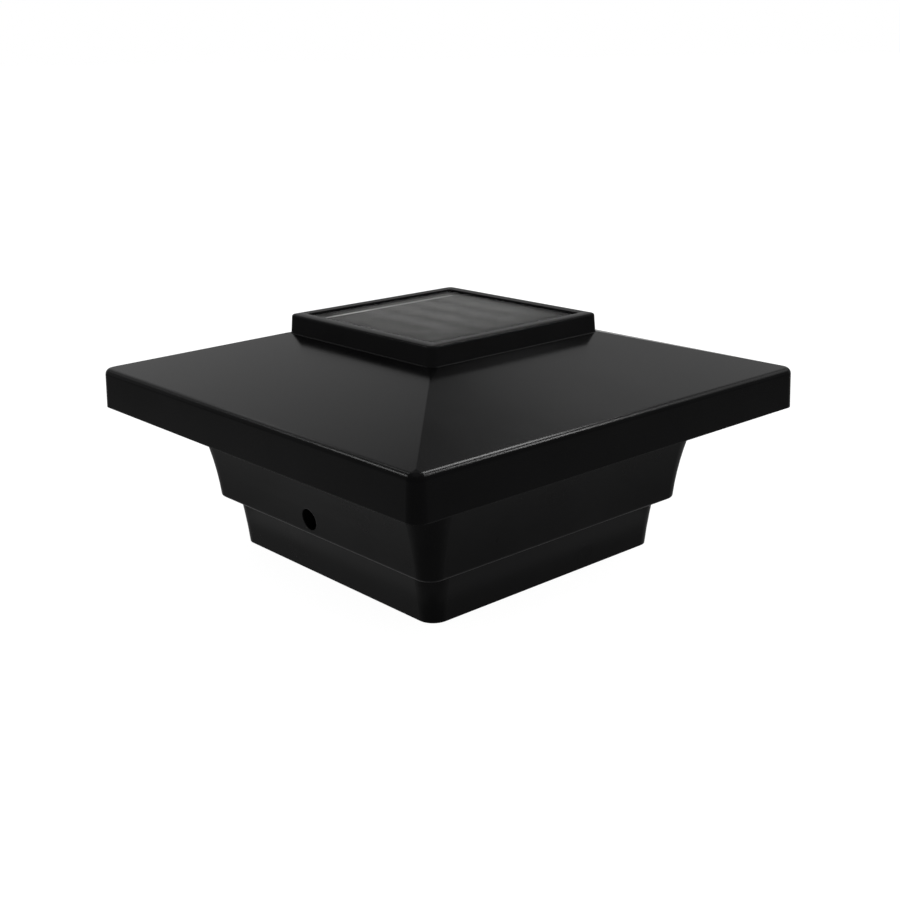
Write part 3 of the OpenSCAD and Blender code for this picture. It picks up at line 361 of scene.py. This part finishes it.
for name, node in nodes.items():
    material = FINISH.get(name)
    for ending, family in FAMILY:
        if material is None and name.endswith(ending):
            material = family
    node.data.materials.clear()
    node.data.materials.append(material)


# ---- Pieces that dress the solids ----

RIBBON_WIDTH = 1.2 * MM
ROOF_PITCH = math.radians(15.24)
RIM_CORNER = 2.6 * MM
DECK_Z = 32 * MM         # underside of the deck in the socket
DOOR_FACE_Z = 32.2 * MM  # outer face of the battery door


def dress(name, points, faces, material, body):
    """A mesh in the frame's metres that rides on a body."""
    mesh = bpy.data.meshes.new(name)
    mesh.from_pydata(points, [], faces)
    mesh.materials.append(material)
    piece = bpy.data.objects.new(name, mesh)
    scene.collection.objects.link(piece)
    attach(piece, body)
    return piece


def boxes(items):
    """Points and faces of boxes: each has a centre, half sizes and a turn about Z."""
    points, faces = [], []
    for (x, y, z), (a, b, c), turn in items:
        first = len(points)
        for sx, sy, sz in ((-1, -1, -1), (1, -1, -1), (1, 1, -1), (-1, 1, -1),
                           (-1, -1, 1), (1, -1, 1), (1, 1, 1), (-1, 1, 1)):
            u, v = sx * a, sy * b
            points.append((x + u * math.cos(turn) - v * math.sin(turn),
                           y + u * math.sin(turn) + v * math.cos(turn), z + sz * c))
        for face in ((0, 3, 2, 1), (4, 5, 6, 7), (0, 1, 5, 4), (1, 2, 6, 5), (2, 3, 7, 6),
                     (3, 0, 4, 7)):
            faces.append([first + k for k in face])
    return points, faces


def cell_film():
    """The printed face of the cells, one film over the strips between the ribbons."""
    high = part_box("solar_cells")[1]
    ribbon_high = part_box("cell_ribbons")[1]
    gap = 0.05 * MM
    thickness = 0.03 * MM
    half = (ribbon_high.x - RIBBON_WIDTH - gap, high.y, thickness / 2)
    points, faces = boxes([((0, 0, high.z + thickness / 2), half, 0)])
    dress("cell_film", points, faces, cell_dark, "cap")


def rounded_ring(half, corner, steps=8):
    """Points round a square with rounded corners, each with its outward direction."""
    ring = []
    for quarter in range(4):
        middle = math.radians(90 * quarter + 45)
        centre = (math.copysign(half - corner, math.cos(middle)),
                  math.copysign(half - corner, math.sin(middle)))
        for k in range(steps + 1):
            a = math.radians(90 * quarter + 90 * k / steps)
            out = (math.cos(a), math.sin(a))
            ring.append((centre[0] + corner * out[0], centre[1] + corner * out[1], out))
    return ring


def rim_foot_fillet():
    """The small fillet where the rim meets the roof, its profile swept round the rim."""
    low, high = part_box("panel_rim")
    leg = 0.36 * MM
    sink = 0.06 * MM
    bow = [(0.0, 1.0), (0.12, 0.5), (0.3, 0.3), (0.5, 0.12), (1.0, 0.0)]
    ring = rounded_ring(high.x, RIM_CORNER)
    points, faces = [], []
    for x, y, out in ring:
        for reach, rise in bow:
            px, py = x + out[0] * (reach * leg - sink), y + out[1] * (reach * leg - sink)
            fall = max(0.0, max(abs(px), abs(py)) - high.x) * math.tan(ROOF_PITCH)
            points.append((px, py, low.z + rise * leg - fall))
        points.append((x - out[0] * 3 * sink, y - out[1] * 3 * sink, low.z - sink))
    width = len(bow) + 1
    for i in range(len(ring)):
        for k in range(width):
            j, m = (i + 1) % len(ring), (k + 1) % width
            faces.append((i * width + k, j * width + k, j * width + m, i * width + m))
    dress("rim_foot_fillet", points, faces, seam_black, "cap")


def mould_lines():
    """Fine upright mould lines low on two opposite corners of the base."""
    foot_half, corner = 48.5 * MM, 5.2 * MM
    cove_r, lean = 170 * MM, math.radians(5.6)
    centre_x = foot_half + cove_r * math.cos(lean)
    centre_z = -cove_r * math.sin(lean)
    half_width, proud, sink = 0.16 * MM, 0.07 * MM, 0.1 * MM
    foot_z, height, steps = 0.2 * MM, 7.0 * MM, 7
    direction = math.radians(-13)
    core = foot_half - corner
    points, faces = [], []
    for side in (1, -1):
        first = len(points)
        for k in range(steps):
            z = foot_z + height * k / (steps - 1)
            wall = centre_x - math.sqrt(cove_r ** 2 - (z - centre_z) ** 2)
            reach = corner + wall - foot_half
            for offset, lift in ((-half_width, -sink), (0, proud), (half_width, -sink)):
                a = direction + offset / corner
                r = reach + lift
                points.append((side * (core + r * math.cos(a)),
                               side * (-core + r * math.sin(a)), z))
        for k in range(steps - 1):
            a = first + 3 * k
            faces += [(a, a + 1, a + 4, a + 3), (a + 1, a + 2, a + 5, a + 4)]
    dress("mould_lines", points, faces, seam_black, "cap")


# Strokes of each letter, on a grid 2 wide and 4 high.
LETTERS = {"O": [(0, 0, 0, 4), (0, 4, 2, 4), (2, 4, 2, 0), (2, 0, 0, 0)],
           "N": [(0, 0, 0, 4), (0, 4, 2, 0), (2, 0, 2, 4)],
           "F": [(0, 0, 0, 4), (0, 4, 2, 4), (0, 2, 1.6, 2)]}
LETTER_WIDTH, LETTER_PITCH = 2.0, 3.2


def underside_word(word, x, y, z, unit):
    """Raised strokes that read from below: their left is at +X. A unit is a grid step."""
    half_stroke, proud = 0.2 * unit, 0.12 * MM
    word_width = LETTER_PITCH * (len(word) - 1) + LETTER_WIDTH
    start = x + word_width * unit / 2
    items = []
    for i, letter in enumerate(word):
        for x0, y0, x1, y1 in LETTERS[letter]:
            ax, bx = (start - (LETTER_PITCH * i + v) * unit for v in (x0, x1))
            ay, by = (y + (v - 2) * unit for v in (y0, y1))
            length = math.hypot(bx - ax, by - ay) / 2 + half_stroke
            items.append((((ax + bx) / 2, (ay + by) / 2, z), (length, half_stroke, proud),
                          math.atan2(by - ay, bx - ax)))
    return items


def switch_marks():
    """OFF and ON at the two ends of the switch's slot."""
    low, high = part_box("switch_knob")
    y = (low.y + high.y) / 2
    unit, off_gap, on_gap = 0.55 * MM, 7 * MM, 8 * MM
    items = underside_word("OFF", low.x - off_gap, y, DECK_Z, unit)
    items += underside_word("ON", high.x + on_gap, y, DECK_Z, unit)
    points, faces = boxes(items)
    dress("switch_marks", points, faces, mark_grey, "cap")


def door_marks():
    """Grip ribs near the door's free edge, and an arrow behind them."""
    low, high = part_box("battery_door")
    x = (low.x + high.x) / 2
    rib_count, first_rib, rib_pitch, arrow_tip = 4, 2.4, 1.3, 9
    proud, half_stroke = 0.08 * MM, 0.25 * MM
    rib_half = (7 * MM, 0.3 * MM, proud)
    items = [((x, high.y - (first_rib + rib_pitch * k) * MM, DOOR_FACE_Z), rib_half, 0)
             for k in range(rib_count)]
    tip_y = high.y - arrow_tip * MM
    for side in (-1, 1):
        items.append(((x + side * 1.1 * MM, tip_y - 1.1 * MM, DOOR_FACE_Z),
                      (1.75 * MM, half_stroke, proud), -side * math.radians(45)))
    items.append(((x, tip_y - 2.6 * MM, DOOR_FACE_Z), (half_stroke, 2.4 * MM, proud), 0))
    points, faces = boxes(items)
    dress("door_marks", points, faces, base_black, "battery_door")


def ribbon_tapes():
    """The two tinned ribbons, slightly buckled; the one at +X takes the panel backing's colour,
    painted dark as shade.
    """
    low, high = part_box("cell_ribbons")
    steps, drop, buckle = 40, 0.03, 0.012
    points, faces = [], []
    for side in (-1, 1):
        first = len(points)
        for k in range(steps + 1):
            y = low.y + (high.y - low.y) * k / steps
            top = high.z - (drop + buckle * math.sin(0.9 * k) * math.sin(0.37 * k)) * MM
            for x, z in ((high.x - RIBBON_WIDTH, low.z), (high.x, low.z), (high.x, top),
                         (high.x - RIBBON_WIDTH, top)):
                points.append((side * x, y, z))
        for k in range(steps):
            for m in range(4):
                a, b = first + 4 * k + m, first + 4 * k + (m + 1) % 4
                faces.append((a, b, b + 4, a + 4))
        faces.append([first + m for m in range(4)])
        faces.append([first + 4 * steps + m for m in range(4)])
    tapes = dress("ribbon_tapes", points, faces, ribbon_tin, "cap")
    # The ribbon at +X gets the backing's finish, whose painted shade hides it.
    tapes.data.materials.append(board_dark)
    for face in tapes.data.polygons[len(faces) // 2:]:
        face.material_index = 1
    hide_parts("cell_ribbons")


def soften_rim():
    """A real rounding on the rim's sharp edges, mostly the one round the panel."""
    edge = nodes["panel_rim"].modifiers.new("edge", "BEVEL")
    edge.width = 0.3 * MM
    edge.segments = 3
    edge.limit_method = "ANGLE"
    edge.angle_limit = math.radians(60)
    edge.use_clamp_overlap = False


soften_rim()
cell_film()
ribbon_tapes()
rim_foot_fillet()
mould_lines()
switch_marks()
door_marks()


# ---- Floor, light and camera ----

def seen_directly(tree):
    """1 for camera, glossy and transmission rays, and 0 for all others."""
    rays = add(tree, "ShaderNodeLightPath").outputs
    either = compute(tree, "MAXIMUM", rays["Is Camera Ray"], rays["Is Glossy Ray"])
    return compute(tree, "MAXIMUM", either, rays["Is Transmission Ray"])


def mix_shaders(tree, factor, first, second):
    """The first shader where the factor is 0, and the second where it is 1."""
    mix = add(tree, "ShaderNodeMixShader")
    tree.links.new(factor, mix.inputs["Fac"])
    tree.links.new(first, mix.inputs[1])
    tree.links.new(second, mix.inputs[2])
    return mix.outputs["Shader"]


def stage_material():
    """White to the camera and in reflections, plain pale paint to all other rays, and
    clear from below. In reflections it shows painted light, brighter towards +X and -Y than the
    other way."""
    camera_level, white_share = 1.2, 0.8
    dim, bright, dim_at, bright_at = 0.5, 1.5, -0.1, 0.12
    material, tree = new_tree("stage_white")
    paint = add(tree, "ShaderNodeBsdfDiffuse", Color=(0.8, 0.8, 0.8, 1.0))
    white = add(tree, "ShaderNodeEmission")
    axes = place_axes(tree)
    # Painted light in reflections: the floor's glow runs from 0.5 towards -X and +Y to 1.5
    # towards +X and -Y.
    painted_reflection_level = spread(tree, compute(tree, "SUBTRACT", axes["X"], axes["Y"]),
                       dim, bright, dim_at, bright_at)
    level = add(tree, "ShaderNodeMix", data_type="FLOAT")
    level.inputs["B"].default_value = camera_level
    tree.links.new(add(tree, "ShaderNodeLightPath").outputs["Is Camera Ray"],
                   level.inputs["Factor"])
    tree.links.new(painted_reflection_level, level.inputs["A"])
    tree.links.new(level.outputs["Result"], white.inputs["Strength"])
    share = compute(tree, "MULTIPLY", seen_directly(tree), white_share)
    above = mix_shaders(tree, share, paint.outputs["BSDF"], white.outputs["Emission"])
    clear = add(tree, "ShaderNodeBsdfTransparent")
    side = add(tree, "ShaderNodeNewGeometry").outputs["Backfacing"]
    output = add(tree, "ShaderNodeOutputMaterial")
    tree.links.new(mix_shaders(tree, side, above, clear.outputs["BSDF"]),
                   output.inputs["Surface"])
    return material


def floor():
    """A wide disc a hair under the foot, so that the two don't share a plane."""
    radius, drop = 20.0, 0.05 * MM
    mesh = bpy.data.meshes.new("floor")
    shape = bmesh.new()
    bmesh.ops.create_circle(shape, cap_ends=True, segments=96, radius=radius)
    shape.to_mesh(mesh)
    shape.free()
    piece = bpy.data.objects.new("floor", mesh)
    piece.location.z = -drop
    scene.collection.objects.link(piece)
    mesh.materials.append(stage_material())


def world():
    """White behind everything, and a soft even light of half strength."""
    scene.world = bpy.data.worlds.new("studio")
    scene.world.use_nodes = True
    tree = scene.world.node_tree
    tree.nodes.clear()
    back = add(tree, "ShaderNodeBackground", Color=(1.0, 1.0, 1.0, 1.0))
    output = add(tree, "ShaderNodeOutputWorld")
    tree.links.new(spread(tree, seen_directly(tree), 0.5, 1.0, 0.0, 1.0),
                   back.inputs["Strength"])
    tree.links.new(back.outputs["Background"], output.inputs["Surface"])


def soft_lamp(name, place, aim, width, height, watts, gloss_only=False):
    """A rectangular lamp that the camera doesn't see."""
    light = bpy.data.lights.new(name, "AREA")
    light.shape = "RECTANGLE"
    light.size = width
    light.size_y = height
    light.energy = watts
    lamp = bpy.data.objects.new(name, light)
    lamp.location = place
    lamp.rotation_euler = (Vector(aim) - Vector(place)).to_track_quat("-Z", "Y").to_euler()
    lamp.visible_camera = False
    lamp.visible_diffuse = not gloss_only
    lamp.visible_transmission = not gloss_only
    scene.collection.objects.link(lamp)


def around(azimuth, elevation, distance):
    """A place seen from the cap: azimuth 0 is +Y and 90 is -X."""
    az, el = math.radians(azimuth), math.radians(elevation)
    return (-math.sin(az) * math.cos(el) * distance, math.cos(az) * math.cos(el) * distance,
            math.sin(el) * distance)


CAMERA_PLACE = Vector((0.30709, -0.27004, 0.15825))
CAMERA_AZIMUTH = math.radians(48.416)
CAMERA_ELEVATION = math.radians(17.193)
CAMERA_ROLL = math.radians(-0.878)
CAMERA_LENS = 51.9


def camera():
    """The photograph's own view."""
    data = bpy.data.cameras.new("camera")
    data.lens = CAMERA_LENS
    data.sensor_width = 36.0
    data.clip_start = 0.01
    data.clip_end = 50.0
    piece = bpy.data.objects.new("camera", data)
    az, el, roll = CAMERA_AZIMUTH, CAMERA_ELEVATION, CAMERA_ROLL
    back = Vector((math.sin(az) * math.cos(el), -math.cos(az) * math.cos(el), math.sin(el)))
    right = Vector((math.cos(az), math.sin(az), 0.0))
    up = back.cross(right)
    right, up = (right * math.cos(roll) + up * math.sin(roll),
                 up * math.cos(roll) - right * math.sin(roll))
    turn = Matrix((right, up, back)).transposed()
    piece.matrix_world = Matrix.Translation(CAMERA_PLACE) @ turn.to_4x4()
    scene.collection.objects.link(piece)
    scene.camera = piece


AIM = (0, 0, 0.05)
SOFT_DISTANCE, GLOSS_DISTANCE = 1.6, 1.4
# Name, azimuth, elevation, width, height, watts.
SOFT_LAMPS = (
    ("back_right", 20, 31, 0.8, 0.45, 1.6),
    ("back_left", 72, 30, 1.1, 0.55, 2.4),
    ("side_left", 112, 33, 0.6, 0.55, 1.2),
    ("side_right", -20, 38, 0.8, 0.65, 6.5),
)
# Small lamps that only the gloss shows, for the light lines along the eaves.
GLOSS_LAMPS = (
    ("fill_left", 90, 38.5, 0.5, 0.12, 0.9),
    ("glint_left", 124, 35, 0.2, 0.16, 5.0),
    ("glint_back", 14, 50.5, 0.34, 0.2, 13.0),
    ("glint_right", -30, 42, 0.16, 0.16, 11.0),
    ("corner_left", 90, 47.5, 0.2, 0.1, 0.7),
    ("corner_right", -30, 50.5, 0.16, 0.1, 5.0),
)

floor()
world()
for name, azimuth, elevation, width, height, watts in SOFT_LAMPS:
    soft_lamp(name, around(azimuth, elevation, SOFT_DISTANCE), AIM, width, height, watts)
soft_lamp("top", (0.1, -0.2, 1.8), AIM, 1.4, 1.4, 8.0)
for name, azimuth, elevation, width, height, watts in GLOSS_LAMPS:
    soft_lamp(name, around(azimuth, elevation, GLOSS_DISTANCE), AIM, width, height, watts,
              True)
# Strips at the foot that stand for the light the floor throws on the lower cove.
STRIP_PLACE, STRIP_Z, STRIP_LENGTH, STRIP_WIDTH, STRIP_WATTS = 0.060, 0.001, 0.12, 0.008, 0.0028
soft_lamp("bounce_front", (0, -STRIP_PLACE, STRIP_Z), (0, -STRIP_PLACE, 1),
          STRIP_LENGTH, STRIP_WIDTH, STRIP_WATTS, True)
soft_lamp("bounce_right", (STRIP_PLACE, 0, STRIP_Z), (STRIP_PLACE, 0, 1),
          STRIP_WIDTH, STRIP_LENGTH, STRIP_WATTS, True)
camera()

scene.view_settings.view_transform = "Standard"
